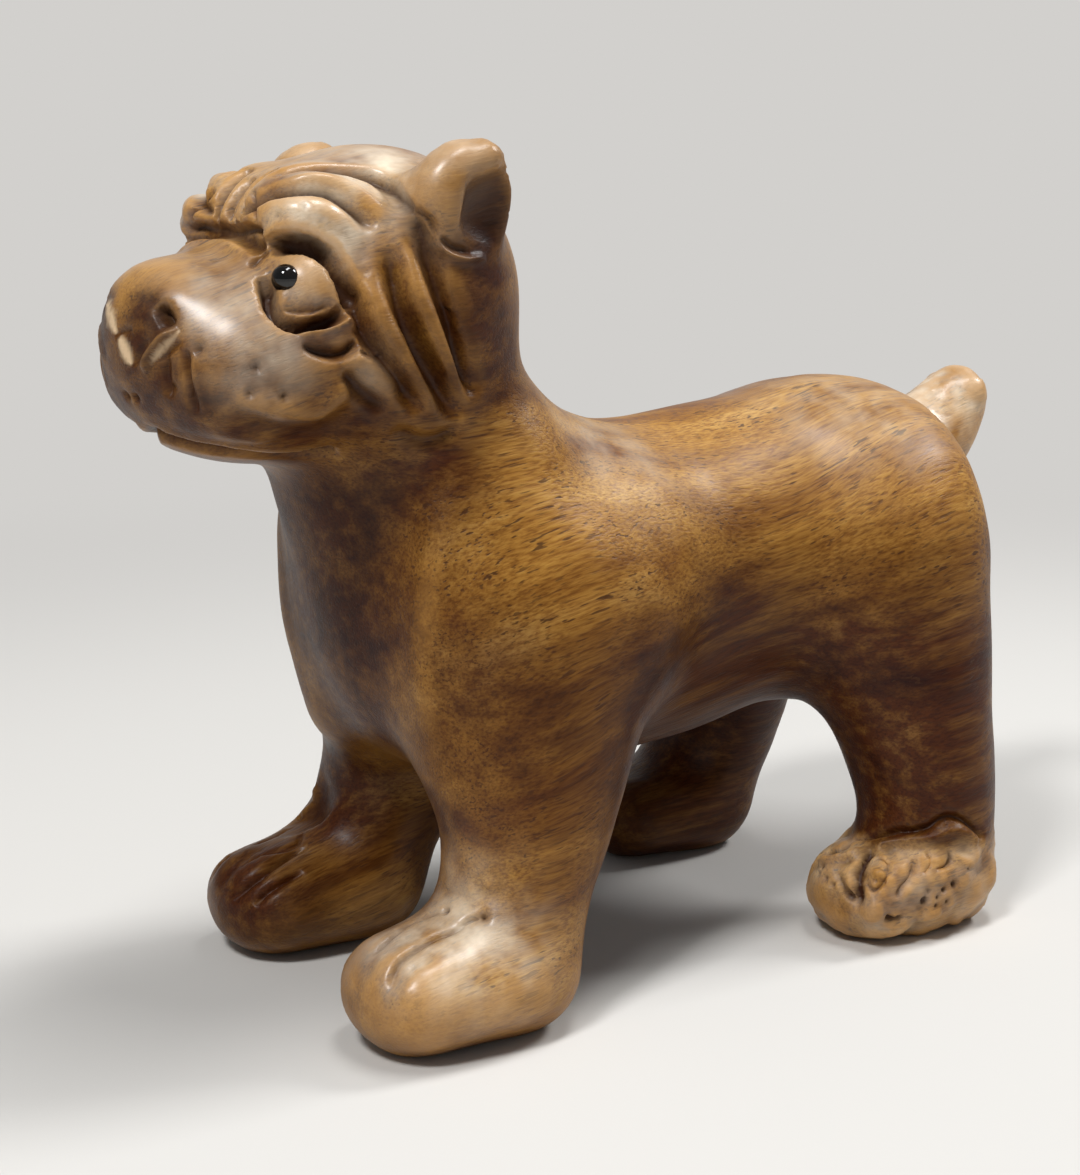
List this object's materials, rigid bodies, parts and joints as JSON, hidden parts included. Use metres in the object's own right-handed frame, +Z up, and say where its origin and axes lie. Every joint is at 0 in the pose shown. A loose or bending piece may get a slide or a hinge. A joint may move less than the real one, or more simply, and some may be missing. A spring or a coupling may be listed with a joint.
{
  "type": "wooden dog figurine",
  "caption": "Standing dog carved from solid wood, with a wrinkled snub face, small cupped ears, thick legs on rounded paws, a stub tail and black inlaid bead eyes.",
  "frame": {"origin": "on the ground, in the middle of the figurine's bounding box", "axes": "+Z up, +Y from the nose to the tail, +X to the dog's left side"},
  "size_m": [0.0456, 0.0964, 0.0718],
  "materials": {
    "carved_wood": "golden to reddish brown hardwood, hand carved and polished to a satin sheen",
    "black_bead": "black, high gloss"
  },
  "bodies": {
    "root": {"carved_body": "carved_wood", "left_eye_bead": "black_bead", "right_eye_bead": "black_bead"}
  },
  "joints": []
}
